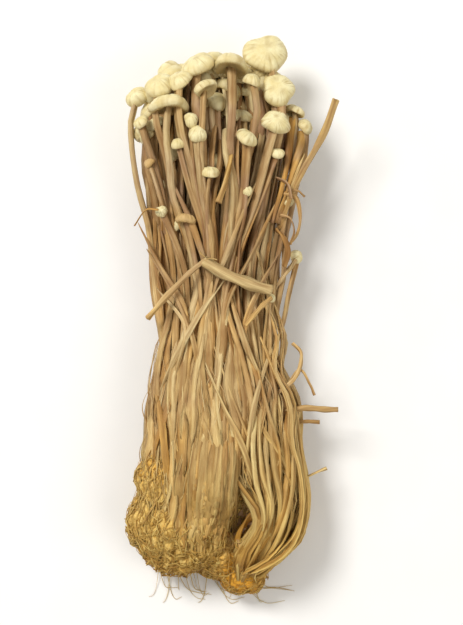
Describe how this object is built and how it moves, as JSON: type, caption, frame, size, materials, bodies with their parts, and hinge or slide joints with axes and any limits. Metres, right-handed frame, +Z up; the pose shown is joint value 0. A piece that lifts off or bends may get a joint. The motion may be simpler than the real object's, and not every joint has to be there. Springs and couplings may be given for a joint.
{
  "type": "dried enoki mushroom bunch",
  "caption": "Bunch of dried enoki mushrooms lying on its side: long thin brown stems fused at a fibrous root, fanning out to a dense head of small ivory caps.",
  "frame": {"origin": "on the surface the bunch lies on, under the middle of its bounding box", "axes": "+Y along the stems from the cut root to the caps, +Z up from the surface it lies on, +X to the right as seen from above with the caps away from the viewer"},
  "size_m": [0.0432, 0.1136, 0.0223],
  "materials": {
    "root": "dry, granular, fibrous growing mat, matt",
    "stem": "dried stems, tan to dark brown, faint satin",
    "cap": "dried caps, ivory, wrinkled, faint satin",
    "loose_stem": "dried stem, golden to pale, faint satin"
  },
  "bodies": {
    "root": {"root_base": "root", "stems": "stem", "caps": "cap", "bent_stem": "loose_stem"}
  },
  "joints": []
}
